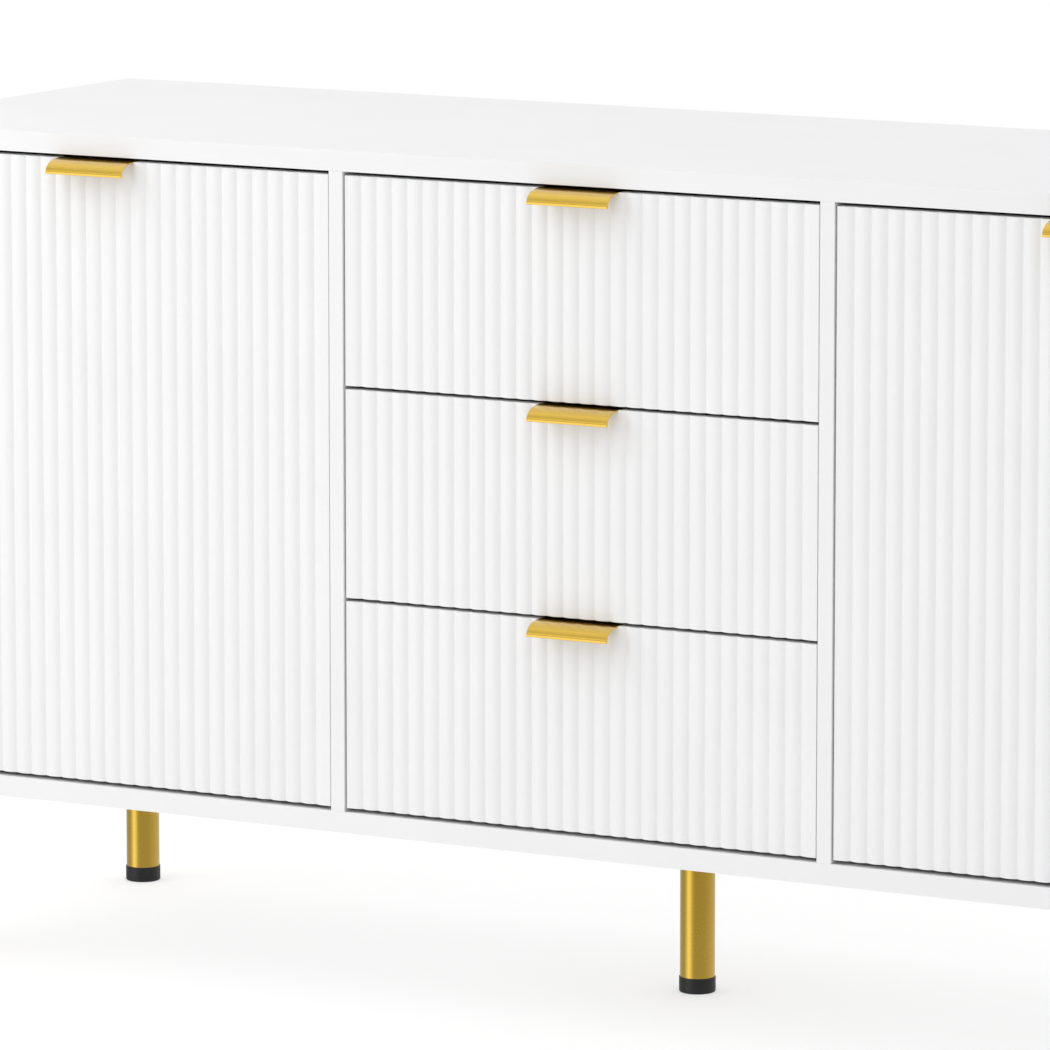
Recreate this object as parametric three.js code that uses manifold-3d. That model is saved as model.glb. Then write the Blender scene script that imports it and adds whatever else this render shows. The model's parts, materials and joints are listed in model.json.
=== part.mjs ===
// A sideboard with two fluted doors and three fluted drawers, on five round legs.
// Millimetres, +Z up, the front faces -Y. Inside the cabinet group, y = 0 is the plane of the
// cabinet's front edges, x = 0 is its middle and z = 0 is the floor.
import * as THREE from 'three';
import { mergeVertices } from 'three/addons/utils/BufferGeometryUtils.js';
import Module from 'manifold-3d';

const wasm = await Module();
wasm.setup();

// Cabinet
const WIDTH = 1400;
const DEPTH = 430;
const HEIGHT = 730;
const LEG_HEIGHT = 153;
const DECK_THICKNESS = 18;
const UPRIGHT_THICKNESS = 13;
const MIDDLE_BAY_WIDTH = 445;

// Back panel, held in a groove round the outer boards
const BACK_THICKNESS = 4;
const BACK_INSET = 12;
const GROOVE_DEPTH = 5;
const GROOVE_PLAY = 0.2;

// Fronts
const FRONT_THICKNESS = 13;
const FRONT_SETBACK = 1.5;
const TOP_GAP = 3.2;
const BOTTOM_GAP = 3.3;
const DRAWER_GAP = 2.9;
const SIDE_GAP = 1.5;
const FLUTE_COUNT = 30;
const FLUTE_DEPTH = 2.4;

// Bent edge pulls
const PULL_LENGTH = 75;
const PULL_THICKNESS = 1.2;
const PULL_REACH = 20;
const PULL_DROP = 11.9;
const PULL_LIP = { height: 2.2, thickness: 2.6, stand: 0.7 };
const PULL_TAB_HEIGHT = 22;
const PULL_RECESS_DEPTH = 1.5;
const PULL_CURVE_STEPS = 7;
const DOOR_PULL_SHIFT = 4;

// Shelves
const SHELF_THICKNESS = 15;
const SHELF_DEPTH = 365;
const SHELF_SIDE_PLAY = 1;
const SHELF_FRONT_INSET = 40;

// Legs and their caps
const LEG_RADIUS = 15;
const LEG_WALL = 1.5;
const LEG_PLATE_RADIUS = 30;
const LEG_PLATE_THICKNESS = 3;
const LEG_INSET_X = 33;
const LEG_INSET_Y = 37;
const FOOT_RADIUS = 15.7;
const FOOT_BORE_RADIUS = 15.05;
const FOOT_HEIGHT = 13.5;
const FOOT_FLOOR = 2.5;
const FOOT_EDGE = 1;
const ROUND_SEGMENTS = 24;

// Concealed cup hinges
const HINGE_END_INSET = 95;
const CUP_RADIUS = 17.5;
const CUP_DEPTH = 9;
const CUP_CENTRE_INSET = 22.5;
const HINGE_PLATE = { thickness: 3, length: 42, height: 52, frontInset: 34 };
const HINGE_ARM = { width: 13, height: 14, length: 62 };
const HINGE_NECK = { reach: 26, length: 14, height: 11 };
const HINGE_DOOR_CLEARANCE = 0.8;

// Drawer boxes and their slides
const SLIDE_SPACE = 12.7;
const SLIDE_LENGTH = 350;
const SLIDE_SHEET = 1.2;
const OUTER_SLIDE = { height: 35, flange: 9.5 };
const INNER_SLIDE = { height: 24, flange: 9.7 };
const SLIDE_CENTRE_HEIGHT = 45;
const SLIDE_FRONT_INSET = 1;
const DRAWER_BOARD = 12;
const DRAWER_BOX_HEIGHT = 120;
const DRAWER_BOX_DEPTH = 350;
const DRAWER_BOX_RISE = 22;
const DRAWER_BOTTOM_THICKNESS = 4;
const DRAWER_BOTTOM_RISE = 10;

const sideBayWidth = (WIDTH - MIDDLE_BAY_WIDTH - 4 * UPRIGHT_THICKNESS) / 2;
const deckTop = LEG_HEIGHT + DECK_THICKNESS;
const bayTop = HEIGHT - DECK_THICKNESS;
const bayHeight = bayTop - deckTop;
const frontBack = FRONT_SETBACK + FRONT_THICKNESS;
const backPanelFront = DEPTH - BACK_INSET - BACK_THICKNESS;
const pullReachFromCabinet = PULL_REACH - FRONT_SETBACK;

function finish(color, roughness, metalness = 0) {
  return () => new THREE.MeshStandardMaterial({ color, roughness, metalness });
}

const whiteBoard = finish(0xf4f4f4, 0.45);
const flutedBoard = finish(0xf6f6f6, 0.5);
const thinBoard = finish(0xeeeeec, 0.6);
const drawerBoard = finish(0xf0f0ee, 0.55);
const goldMetal = finish(0xd9b04c, 0.3, 1);
const blackPlastic = finish(0x0c0c0c, 0.5);
const zincSteel = finish(0xb9bcc0, 0.35, 1);
const nickelSteel = finish(0xc9c9c6, 0.25, 1);

// A box given by its spans along x, y and z.
function boxBetween([x0, x1], [y0, y1], [z0, z1]) {
  const geometry = new THREE.BoxGeometry(x1 - x0, y1 - y0, z1 - z0);
  return geometry.translate((x0 + x1) / 2, (y0 + y1) / 2, (z0 + z1) / 2);
}

function toSolid(geometry) {
  const bare = geometry.clone();
  bare.deleteAttribute('normal');
  bare.deleteAttribute('uv');
  const merged = mergeVertices(bare, 1e-4);
  return new wasm.Manifold(new wasm.Mesh({
    numProp: 3,
    vertProperties: new Float32Array(merged.attributes.position.array),
    triVerts: new Uint32Array(merged.index.array),
  }));
}

function toGeometry(solid) {
  const mesh = solid.getMesh();
  const geometry = new THREE.BufferGeometry();
  geometry.setAttribute('position', new THREE.BufferAttribute(mesh.vertProperties, 3));
  geometry.setIndex(new THREE.BufferAttribute(mesh.triVerts, 1));
  geometry.computeVertexNormals();
  return geometry;
}

function cut(geometry, tools) {
  const solid = tools.reduce((rest, tool) => rest.subtract(toSolid(tool)), toSolid(geometry));
  return toGeometry(solid);
}

function join(geometries) {
  const [first, ...others] = geometries.map(toSolid);
  return toGeometry(others.reduce((sum, solid) => sum.add(solid), first));
}

function addPiece(group, name, geometry, material) {
  const mesh = new THREE.Mesh(geometry, material());
  mesh.name = name;
  group.add(mesh);
  return mesh;
}

// A closed outline extruded along an axis, centred on the origin. across and up are the
// directions of the outline's x and y.
function extrudeAlong(points, length, across, up) {
  const shape = new THREE.Shape(points.map(([x, y]) => new THREE.Vector2(x, y)));
  const geometry = new THREE.ExtrudeGeometry(shape, { depth: length, bevelEnabled: false });
  const along = new THREE.Vector3().crossVectors(across, up);
  geometry.translate(0, 0, -length / 2);
  return geometry.applyMatrix4(new THREE.Matrix4().makeBasis(across, up, along));
}

// How far a flute's face lies behind its crown, at an offset from the crown's middle.
function fluteFall(offset, pitch) {
  const half = pitch / 2;
  const radius = (half * half + FLUTE_DEPTH * FLUTE_DEPTH) / (2 * FLUTE_DEPTH);
  return radius - Math.sqrt(radius * radius - offset * offset);
}

// A front board seen from above: crowned flutes at y = 0, flat to both ends, back at full thickness.
function flutedGeometry(width, height) {
  const pitch = width / FLUTE_COUNT;
  const shoulder = 0.3 * pitch;
  const points = [[-width / 2, 0]];
  for (let valley = 1; valley < FLUTE_COUNT; valley += 1) {
    const x = valley * pitch - width / 2;
    points.push([x - pitch / 2, 0]);
    points.push([x - pitch / 2 + shoulder, fluteFall(shoulder, pitch)]);
    points.push([x, FLUTE_DEPTH]);
    points.push([x + pitch / 2 - shoulder, fluteFall(shoulder, pitch)]);
  }
  points.push([width / 2 - pitch / 2, 0], [width / 2, 0]);
  points.push([width / 2, FRONT_THICKNESS], [-width / 2, FRONT_THICKNESS]);
  const shape = new THREE.Shape(points.map(([x, y]) => new THREE.Vector2(x, y)));
  return new THREE.ExtrudeGeometry(shape, { depth: height, bevelEnabled: false });
}

// The pull's sheet runs up the front's back face, over its top edge and out along a quarter ellipse
// to a thicker lip. Outline x is the reach in front of the flutes' crowns, y the height above the
// top edge.
function pullGeometry() {
  const back = -FRONT_THICKNESS;
  const quarter = (reach, drop, start) => Array.from({ length: PULL_CURVE_STEPS + 1 }, (_, step) => {
    const angle = ((Math.PI / 2) * step) / PULL_CURVE_STEPS;
    return [reach * Math.sin(angle), start - drop * (1 - Math.cos(angle))];
  });
  const faceDrop = PULL_DROP - PULL_LIP.height;
  const lipBack = PULL_REACH - PULL_LIP.thickness;
  const outline = [
    [back, -PULL_TAB_HEIGHT], [back - PULL_THICKNESS, -PULL_TAB_HEIGHT], [back - PULL_THICKNESS, 0],
    ...quarter(PULL_REACH - PULL_LIP.stand, faceDrop, 0),
    [PULL_REACH, -faceDrop], [PULL_REACH, -PULL_DROP], [lipBack, -PULL_DROP],
    ...quarter(lipBack, faceDrop - PULL_THICKNESS, -PULL_THICKNESS).reverse(),
    [back, -PULL_THICKNESS],
  ];
  const forward = new THREE.Vector3(0, -1, 0);
  return extrudeAlong(outline, PULL_LENGTH, forward, new THREE.Vector3(0, 0, 1));
}

// The shallow recess in a front's top edge that the pull's sheet lies in.
function pullRecess(height, x) {
  const half = PULL_LENGTH / 2;
  const spanZ = [height - PULL_RECESS_DEPTH, height + 1];
  return boxBetween([x - half, x + half], [-1, FRONT_THICKNESS + 1], spanZ);
}

function addPull(group, name, height, x) {
  const pull = addPiece(group, name, pullGeometry(), goldMetal);
  pull.position.set(x, 0, height);
}

const cabinet = new THREE.Group();
cabinet.position.y = -(DEPTH - pullReachFromCabinet) / 2;

function addCarcass() {
  const half = WIDTH / 2;
  const inner = half - UPRIGHT_THICKNESS;
  const grooveHalf = inner + GROOVE_DEPTH;
  const backGroove = boxBetween(
    [-grooveHalf, grooveHalf],
    [backPanelFront - GROOVE_PLAY, backPanelFront + BACK_THICKNESS + GROOVE_PLAY],
    [deckTop - GROOVE_DEPTH, bayTop + GROOVE_DEPTH],
  );
  const outerBoards = {
    top_panel: [[-half, half], [bayTop, HEIGHT]],
    bottom_panel: [[-half, half], [LEG_HEIGHT, deckTop]],
    left_side_panel: [[-half, -inner], [deckTop, bayTop]],
    right_side_panel: [[inner, half], [deckTop, bayTop]],
  };
  for (const [name, [spanX, spanZ]] of Object.entries(outerBoards)) {
    addPiece(cabinet, name, cut(boxBetween(spanX, [0, DEPTH], spanZ), [backGroove]), whiteBoard);
  }
  for (const [name, side] of [['left_divider', -1], ['right_divider', 1]]) {
    const board = addPiece(
      cabinet,
      name,
      new THREE.BoxGeometry(UPRIGHT_THICKNESS, backPanelFront - GROOVE_PLAY, bayHeight),
      whiteBoard,
    );
    board.position.set(
      (side * (MIDDLE_BAY_WIDTH + UPRIGHT_THICKNESS)) / 2,
      (backPanelFront - GROOVE_PLAY) / 2,
      deckTop + bayHeight / 2,
    );
  }
  const panelReach = GROOVE_DEPTH - GROOVE_PLAY;
  addPiece(cabinet, 'back_panel', boxBetween(
    [-inner - panelReach, inner + panelReach],
    [backPanelFront, backPanelFront + BACK_THICKNESS],
    [deckTop - panelReach, bayTop + panelReach],
  ), thinBoard);
}

const sideBayCentre = (MIDDLE_BAY_WIDTH + sideBayWidth) / 2 + UPRIGHT_THICKNESS;

function addShelf(name, side) {
  const width = sideBayWidth - 2 * SHELF_SIDE_PLAY;
  const board = new THREE.BoxGeometry(width, SHELF_DEPTH, SHELF_THICKNESS);
  const shelf = addPiece(cabinet, name, board, whiteBoard);
  shelf.position.set(side * sideBayCentre, SHELF_FRONT_INSET + SHELF_DEPTH / 2, deckTop + bayHeight / 2);
}

function turned(profile) {
  const points = profile.map(([radius, height]) => new THREE.Vector2(radius, height));
  return new THREE.LatheGeometry(points, ROUND_SEGMENTS).rotateX(Math.PI / 2);
}

// An open tube welded under a round plate that screws to the bottom board.
function addLeg(name, x, y) {
  const plateBottom = LEG_HEIGHT - LEG_PLATE_THICKNESS;
  const bore = LEG_RADIUS - LEG_WALL;
  const leg = addPiece(cabinet, `${name}_leg`, turned([
    [0, plateBottom], [bore, plateBottom], [bore, FOOT_FLOOR], [LEG_RADIUS, FOOT_FLOOR],
    [LEG_RADIUS, plateBottom], [LEG_PLATE_RADIUS, plateBottom], [LEG_PLATE_RADIUS, LEG_HEIGHT],
    [0, LEG_HEIGHT],
  ]), goldMetal);
  leg.position.set(x, y, 0);
  const foot = addPiece(cabinet, `${name}_foot`, turned([
    [0, 0], [FOOT_RADIUS - FOOT_EDGE, 0], [FOOT_RADIUS, FOOT_EDGE], [FOOT_RADIUS, FOOT_HEIGHT],
    [FOOT_BORE_RADIUS, FOOT_HEIGHT], [FOOT_BORE_RADIUS, FOOT_FLOOR], [0, FOOT_FLOOR],
  ]), blackPlastic);
  foot.position.set(x, y, 0);
}

function addLegs() {
  const legX = WIDTH / 2 - LEG_INSET_X;
  const places = {
    front_left: [-legX, LEG_INSET_Y],
    front_right: [legX, LEG_INSET_Y],
    rear_left: [-legX, DEPTH - LEG_INSET_Y],
    rear_right: [legX, DEPTH - LEG_INSET_Y],
    centre: [0, DEPTH / 2],
  };
  for (const [name, [x, y]] of Object.entries(places)) addLeg(name, x, y);
}

// The hinge's fixed half: a plate on the side panel and an arm cranked towards the door's cup.
function addHingeArm(name, side, z) {
  const plateEnd = HINGE_PLATE.frontInset + HINGE_PLATE.length;
  const armStart = frontBack + HINGE_DOOR_CLEARANCE;
  const armRoot = HINGE_PLATE.thickness - 0.5;
  const parts = [
    boxBetween([0, HINGE_PLATE.thickness], [HINGE_PLATE.frontInset, plateEnd],
      [-HINGE_PLATE.height / 2, HINGE_PLATE.height / 2]),
    boxBetween([armRoot, armRoot + HINGE_ARM.width], [armStart, armStart + HINGE_ARM.length],
      [-HINGE_ARM.height / 2, HINGE_ARM.height / 2]),
    boxBetween([armRoot, HINGE_NECK.reach], [armStart, armStart + HINGE_NECK.length],
      [-HINGE_NECK.height / 2, HINGE_NECK.height / 2]),
  ];
  const panelFace = WIDTH / 2 - UPRIGHT_THICKNESS;
  const arm = addPiece(cabinet, name, join(parts), nickelSteel);
  arm.position.set(side * panelFace, 0, z);
  if (side > 0) {
    arm.geometry.rotateY(Math.PI);
  }
}

const doorHeight = bayHeight - TOP_GAP - BOTTOM_GAP;
const doorBottom = deckTop + BOTTOM_GAP;
const hingeHeights = { lower: HINGE_END_INSET, upper: doorHeight - HINGE_END_INSET };

function addDoor(name, side) {
  const door = new THREE.Group();
  const width = sideBayWidth - 2 * SIDE_GAP;
  const pullX = side * DOOR_PULL_SHIFT;
  const cupX = side * (width / 2 - CUP_CENTRE_INSET);
  const pockets = Object.values(hingeHeights).map((height) => {
    const pocket = new THREE.CylinderGeometry(CUP_RADIUS, CUP_RADIUS, 2 * CUP_DEPTH, ROUND_SEGMENTS);
    return pocket.translate(cupX, FRONT_THICKNESS, height);
  });
  const recess = pullRecess(doorHeight, pullX);
  const panel = cut(flutedGeometry(width, doorHeight), [recess, ...pockets]);
  addPiece(door, `${name}_door_panel`, panel, flutedBoard);
  addPull(door, `${name}_door_handle`, doorHeight, pullX);
  door.position.set(side * sideBayCentre, FRONT_SETBACK, doorBottom);
  cabinet.add(door);
  for (const [level, height] of Object.entries(hingeHeights)) {
    addHingeArm(`${name}_${level}_hinge_arm`, side, doorBottom + height);
  }
}

// A C-shaped slide member. Its web stands on the face at x = 0 and its flanges point along +x.
function slideGeometry({ height, flange }) {
  const half = height / 2;
  const outline = [
    [0, -half], [flange, -half], [flange, SLIDE_SHEET - half], [SLIDE_SHEET, SLIDE_SHEET - half],
    [SLIDE_SHEET, half - SLIDE_SHEET], [flange, half - SLIDE_SHEET], [flange, half], [0, half],
  ];
  const across = new THREE.Vector3(1, 0, 0);
  return extrudeAlong(outline, SLIDE_LENGTH, across, new THREE.Vector3(0, 0, 1));
}

function addSlides(level, z) {
  const y = frontBack + SLIDE_FRONT_INSET + SLIDE_LENGTH / 2;
  const bayHalf = MIDDLE_BAY_WIDTH / 2;
  for (const [name, side] of [['left', -1], ['right', 1]]) {
    const stem = `${level}_${name}`;
    const outer = addPiece(cabinet, `${stem}_cabinet_slide`, slideGeometry(OUTER_SLIDE), zincSteel);
    outer.position.set(side * bayHalf, y, z);
    outer.rotation.z = side > 0 ? Math.PI : 0;
    const inner = addPiece(cabinet, `${stem}_drawer_slide`, slideGeometry(INNER_SLIDE), zincSteel);
    inner.position.set(side * (bayHalf - SLIDE_SPACE), y, z);
    inner.rotation.z = side > 0 ? 0 : Math.PI;
  }
}

const drawerFrontHeight = (bayHeight - TOP_GAP - BOTTOM_GAP - 2 * DRAWER_GAP) / 3;

function addDrawer(level, row) {
  const drawer = new THREE.Group();
  const frontWidth = MIDDLE_BAY_WIDTH - 2 * SIDE_GAP;
  const half = MIDDLE_BAY_WIDTH / 2 - SLIDE_SPACE;
  const inner = half - DRAWER_BOARD;
  const boxStart = FRONT_THICKNESS;
  const boxEnd = boxStart + DRAWER_BOX_DEPTH;
  const backFace = boxEnd - DRAWER_BOARD;
  const spanZ = [DRAWER_BOX_RISE, DRAWER_BOX_RISE + DRAWER_BOX_HEIGHT];
  const bottomZ = DRAWER_BOX_RISE + DRAWER_BOTTOM_RISE;
  const groove = boxBetween(
    [-inner - GROOVE_DEPTH, inner + GROOVE_DEPTH],
    [boxStart - GROOVE_DEPTH, backFace + GROOVE_DEPTH],
    [bottomZ - GROOVE_PLAY, bottomZ + DRAWER_BOTTOM_THICKNESS + GROOVE_PLAY],
  );
  const recess = pullRecess(drawerFrontHeight, 0);
  const front = cut(flutedGeometry(frontWidth, drawerFrontHeight), [recess, groove]);
  addPiece(drawer, `${level}_drawer_front`, front, flutedBoard);
  for (const [name, spanX] of [['left', [-half, -inner]], ['right', [inner, half]]]) {
    const board = cut(boxBetween(spanX, [boxStart, boxEnd], spanZ), [groove]);
    addPiece(drawer, `${level}_drawer_${name}_side`, board, drawerBoard);
  }
  const back = cut(boxBetween([-inner, inner], [backFace, boxEnd], spanZ), [groove]);
  addPiece(drawer, `${level}_drawer_back`, back, drawerBoard);
  const reach = GROOVE_DEPTH - GROOVE_PLAY;
  addPiece(drawer, `${level}_drawer_bottom`, boxBetween(
    [-inner - reach, inner + reach],
    [boxStart - reach, backFace + reach],
    [bottomZ, bottomZ + DRAWER_BOTTOM_THICKNESS],
  ), thinBoard);
  addPull(drawer, `${level}_drawer_handle`, drawerFrontHeight, 0);
  const z = bayTop - TOP_GAP - drawerFrontHeight - row * (drawerFrontHeight + DRAWER_GAP);
  drawer.position.set(0, FRONT_SETBACK, z);
  cabinet.add(drawer);
  addSlides(level, z + DRAWER_BOX_RISE + SLIDE_CENTRE_HEIGHT);
}

addCarcass();
addShelf('left_shelf', -1);
addShelf('right_shelf', 1);
addLegs();
addDoor('left', -1);
addDoor('right', 1);
['upper', 'middle', 'lower'].forEach(addDrawer);

const sideboard = new THREE.Group();
sideboard.add(cabinet);
export default sideboard;
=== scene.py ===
"""Visual model of a white sideboard with fluted doors and drawers, gold edge pulls and gold legs.

Metres, +Z up, the front faces -Y.
"""
import json
import math

import bmesh
import bpy
from mathutils import Matrix, Vector


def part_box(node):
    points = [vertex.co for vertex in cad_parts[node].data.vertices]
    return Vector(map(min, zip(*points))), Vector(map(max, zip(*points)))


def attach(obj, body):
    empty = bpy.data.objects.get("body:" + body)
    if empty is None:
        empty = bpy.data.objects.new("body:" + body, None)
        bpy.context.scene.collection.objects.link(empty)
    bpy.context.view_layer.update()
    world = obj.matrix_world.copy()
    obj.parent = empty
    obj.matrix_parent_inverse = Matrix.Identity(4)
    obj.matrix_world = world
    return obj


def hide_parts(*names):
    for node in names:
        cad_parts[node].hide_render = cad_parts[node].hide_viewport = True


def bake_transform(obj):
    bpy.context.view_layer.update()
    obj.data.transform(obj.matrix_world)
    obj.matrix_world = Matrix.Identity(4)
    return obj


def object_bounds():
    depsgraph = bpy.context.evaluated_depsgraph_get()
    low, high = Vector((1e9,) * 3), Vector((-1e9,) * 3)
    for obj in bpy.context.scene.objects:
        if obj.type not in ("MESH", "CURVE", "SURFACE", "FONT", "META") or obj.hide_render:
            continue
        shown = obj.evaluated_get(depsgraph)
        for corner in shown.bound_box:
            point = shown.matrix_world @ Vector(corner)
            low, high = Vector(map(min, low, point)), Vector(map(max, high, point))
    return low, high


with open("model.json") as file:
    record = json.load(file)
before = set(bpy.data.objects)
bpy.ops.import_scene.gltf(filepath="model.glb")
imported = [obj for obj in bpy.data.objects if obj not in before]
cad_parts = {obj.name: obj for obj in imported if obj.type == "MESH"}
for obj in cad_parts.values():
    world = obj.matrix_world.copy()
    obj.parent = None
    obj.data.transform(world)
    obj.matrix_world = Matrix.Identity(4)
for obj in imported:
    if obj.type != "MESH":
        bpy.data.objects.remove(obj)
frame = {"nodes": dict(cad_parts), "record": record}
cad_low, cad_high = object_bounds()

MM = 0.001
BODY_OF = {
    node: body
    for body, nodes in frame["record"]["behaviour"]["bodies"].items()
    for node in nodes
}
SLOT_OF = {part["node"]: part["material_slot"] for part in frame["record"]["subparts"]}

# Camera and light
CAMERA_PLACE = Vector((3.0683, -5.8027, 1.4307))
CAMERA_YAW = math.radians(29.114)
CAMERA_PITCH = math.radians(-8.892)
CAMERA_LENS = 269.54
CAMERA_REACH = 100.0
SENSOR_WIDTH = 36.0
SKY_HORIZON = 0.55
SKY_LOWEST = 0.42
SKY_SLOPE = (0.03, 0.18, 0.52)
CARD_DIRECTION = (-0.51, -0.85, -0.1)
CARD_SHARPNESS = 16.0
CARD_STRENGTH = 1.1
FLOOR_GLOW = 0.49
FLOOR_HALF_SIZE = 30.0
FLOOR_DARK = (0.54, 0.54, 0.54)
FLOOR_LIGHT = (0.56, 0.56, 0.56)
KEY = {
    "target": (0.0, 0.0, 0.45),
    "azimuth": 48,
    "elevation": 30,
    "distance": 2.5,
    "size": 2.0,
    "radiance": 1.03,
}
DIFFUSE_BOUNCES = 3

# Meshes
SMOOTH_ANGLE = 38
ROUND_STEPS = 72
SURFACE_LIFT = 0.02 * MM
SAME_PLACE = 1e-6

# Boards and fronts
BOARD_ARRIS = 0.3 * MM
DRAWER_BOARD_ARRIS = 0.8 * MM
FRONT_ARRIS = 0.35 * MM
FLUTE_COUNT = 30
FLUTE_DEPTH = 2.4 * MM
VALLEY_SOFTNESS = 0.45 * MM
FLUTE_STEPS = 7
FLUTE_SMOOTH_ANGLE = 60
ARRIS_STEPS = 4
PULL_RECESS_DEPTH = 1.5 * MM
GROOVE_PLAY = 0.2 * MM
CUTTER_MARGIN = 1 * MM

# Pulls
PULL_THICKNESS = 1.2 * MM
PULL_LIP_HEIGHT = 2.2 * MM
PULL_LIP_THICKNESS = 2.6 * MM
PULL_LIP_STAND = 0.7 * MM
PULL_DROP = 11.9 * MM
PULL_BEND = 1.4 * MM
PULL_LIP_SLOPE = 0.15 * MM
PULL_EDGE = 0.25 * MM
PULL_STEPS = 28
PULL_SHARP_ANGLE = 50
PULL_SMOOTH_ANGLE = 30
PULL_SCREW_RISE = 9 * MM
PULL_SCREW_REACH = 25 * MM

# Legs
LEG_WALL = 1.5 * MM
LEG_PLATE_THICKNESS = 3 * MM
LEG_WELD = 1.8 * MM
LEG_PLATE_EDGE = 0.6 * MM
LEG_END_EDGE = 0.3 * MM
LEG_BORE_STOP = 1 * MM
LEG_SCREW_SHARE = 0.78
FOOT_WALL = 0.7 * MM
FOOT_RIM_EDGE = 0.35 * MM
FOOT_BOTTOM_EDGE = 1.5 * MM
FOOT_BORE_PLAY = 0.05 * MM
FOOT_SOLE_RECESS = 0.6 * MM
FOOT_SOLE_RADIUS = 6 * MM
FOOT_SOLE_RIM_RADIUS = 7 * MM

# Hinge cups
CUP_RADIUS = 17.5 * MM
CUP_DEPTH = 9 * MM
CUP_CENTRE_INSET = 22.5 * MM
CUP_WALL = 1.0 * MM
CUP_RIM_RADIUS = 19.5 * MM
CUP_EAR_REACH = 31 * MM
CUP_EAR_HALF_WIDTH = 7.5 * MM
CUP_PLATE = 0.6 * MM
CUP_SCREW_REACH = 25 * MM
CUP_SIDE_PLAY = 0.2 * MM
CUP_FLOOR_PLAY = 0.3 * MM
CUP_BEND = 1.5 * MM
CUP_BEND_START = 2 * MM
CUP_EDGE = 0.2 * MM
CUP_HOLLOW_BEND = 1 * MM
CUP_HOLLOW_TOP = 2 * MM

# Hinge arms: reaches in from the side panel, places back from the arm's front
HINGE_PLATE_THICKNESS = 2.4 * MM
HINGE_PLATE_LENGTH = 42 * MM
HINGE_PLATE_HALF_HEIGHT = 9 * MM
HINGE_PLATE_CORNER = 2.5 * MM
HINGE_PLATE_END_GAP = 1.3 * MM
HINGE_WING_START = 13.3 * MM
HINGE_WING_END = 28.3 * MM
HINGE_SCREW_REACH = 19 * MM
ARM_SEAT = 1.8 * MM
ARM_TOP = 15.5 * MM
ARM_START = 3.5 * MM
ARM_HALF_HEIGHT = 7 * MM
ARM_EDGE = 2.2 * MM
ARM_SCREW_PLACES = (22 * MM, 36 * MM)
NECK_SEAT = 2.2 * MM
NECK_TOP = 26 * MM
NECK_LENGTH = 14 * MM
NECK_HALF_HEIGHT = 5.5 * MM
NECK_EDGE = 2.4 * MM
PIVOT_PLACES = ((20.5 * MM, 4.5 * MM), (15 * MM, 9.5 * MM))
PIVOT_RADIUS = 1.9 * MM
PIVOT_HALF_LENGTH = 6.3 * MM
PIVOT_EDGE = 0.3 * MM
SLOT_LOW = (13.5 * MM, 44 * MM, -2.2 * MM)
SLOT_HIGH = (17 * MM, 56 * MM, 2.2 * MM)
SLOT_CORNER = 0.8 * MM

# Hinge links: (reach in from the side panel, thickness)
LINKS = {"outer": (20 * MM, 1.8 * MM), "inner": (24 * MM, 1.5 * MM)}
LINK_HALF_WIDTH = 4.2 * MM
LINK_EDGE = 0.3 * MM
LINK_REAR = 8 * MM
LINK_FRONT = 6.5 * MM
LINK_STEPS = 18

# Slides
SLIDE_SHEET = 1.2 * MM
SLIDE_BEND = 0.5 * MM
SLIDE_SCREW_SHARES = (0.3, 0.62, 0.92)
SLIDE_LENGTHWISE = 100 * MM
CAGE_SHEET = 0.5 * MM
CAGE_EDGE = 0.15 * MM
CAGE_LIP = 2 * MM
CAGE_WEB_GAP = 0.5 * MM
CAGE_INSET = 6 * MM
CAGE_LENGTH = 80 * MM
BALL_RADIUS = 2.05 * MM
BALL_COUNT = 9
BALL_SEGMENTS = 14
BALL_RINGS = 8

# Shelf pins and cams
SHELF_SIDE_PLAY = 1 * MM
PIN_RADIUS = 2.5 * MM
PIN_REACH = 8 * MM
PIN_TIP = 0.5 * MM
PIN_COLLAR = 4 * MM
PIN_COLLAR_EDGE = 0.7 * MM
PIN_COLLAR_THICKNESS = 1.0 * MM
PIN_INSET = 40 * MM
PIN_STEPS = 24
CAM_INSET = 34 * MM
CAM_SHARES = (0.3, 0.75)

# Screw heads: (radius, height), then shares of the radius and of the height
PULL_SCREW = (3.6 * MM, 1.5 * MM)
LEG_SCREW = (3.2 * MM, 1.1 * MM)
SLIDE_SCREW = (3.4 * MM, 1.0 * MM)
HINGE_SCREW = (3.5 * MM, 1.1 * MM)
CUP_SCREW = (3.4 * MM, 1.1 * MM)
CAM_HEAD = (7.5 * MM, 0.5 * MM)
SCREW_RIM = ((1.0, 0.0), (1.0, 0.45), (0.93, 0.78), (0.78, 1.0))
SCREW_CROSS = 0.16
SCREW_CROSS_REACH = 0.56
SCREW_CROSS_FLOOR = 0.8
SCREW_CROSS_FLOOR_HEIGHT = 0.35
SCREW_STEPS = 24


def material_nodes(name):
    """A new material, its node tree and its shader."""
    material = bpy.data.materials.new(name)
    material.use_nodes = True
    tree = material.node_tree
    return material, tree, tree.nodes["Principled BSDF"]


def add_node(tree, kind, inputs=None, **settings):
    node = tree.nodes.new(kind)
    for key, value in settings.items():
        setattr(node, key, value)
    for key, value in (inputs or {}).items():
        if isinstance(value, bpy.types.NodeSocket):
            tree.links.new(value, node.inputs[key])
        else:
            node.inputs[key].default_value = value
    return node


def noise(tree, scale, stretch=(1, 1, 1), detail=3.0, roughness=0.55):
    """Noise with about scale cells to a metre, in the object's own coordinates."""
    place = add_node(tree, "ShaderNodeTexCoord").outputs["Object"]
    spread = add_node(tree, "ShaderNodeMapping", {"Vector": place, "Scale": stretch})
    texture = add_node(
        tree,
        "ShaderNodeTexNoise",
        {"Vector": spread.outputs["Vector"], "Scale": scale, "Detail": detail, "Roughness": roughness},
    )
    return texture.outputs["Fac"]


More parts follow.
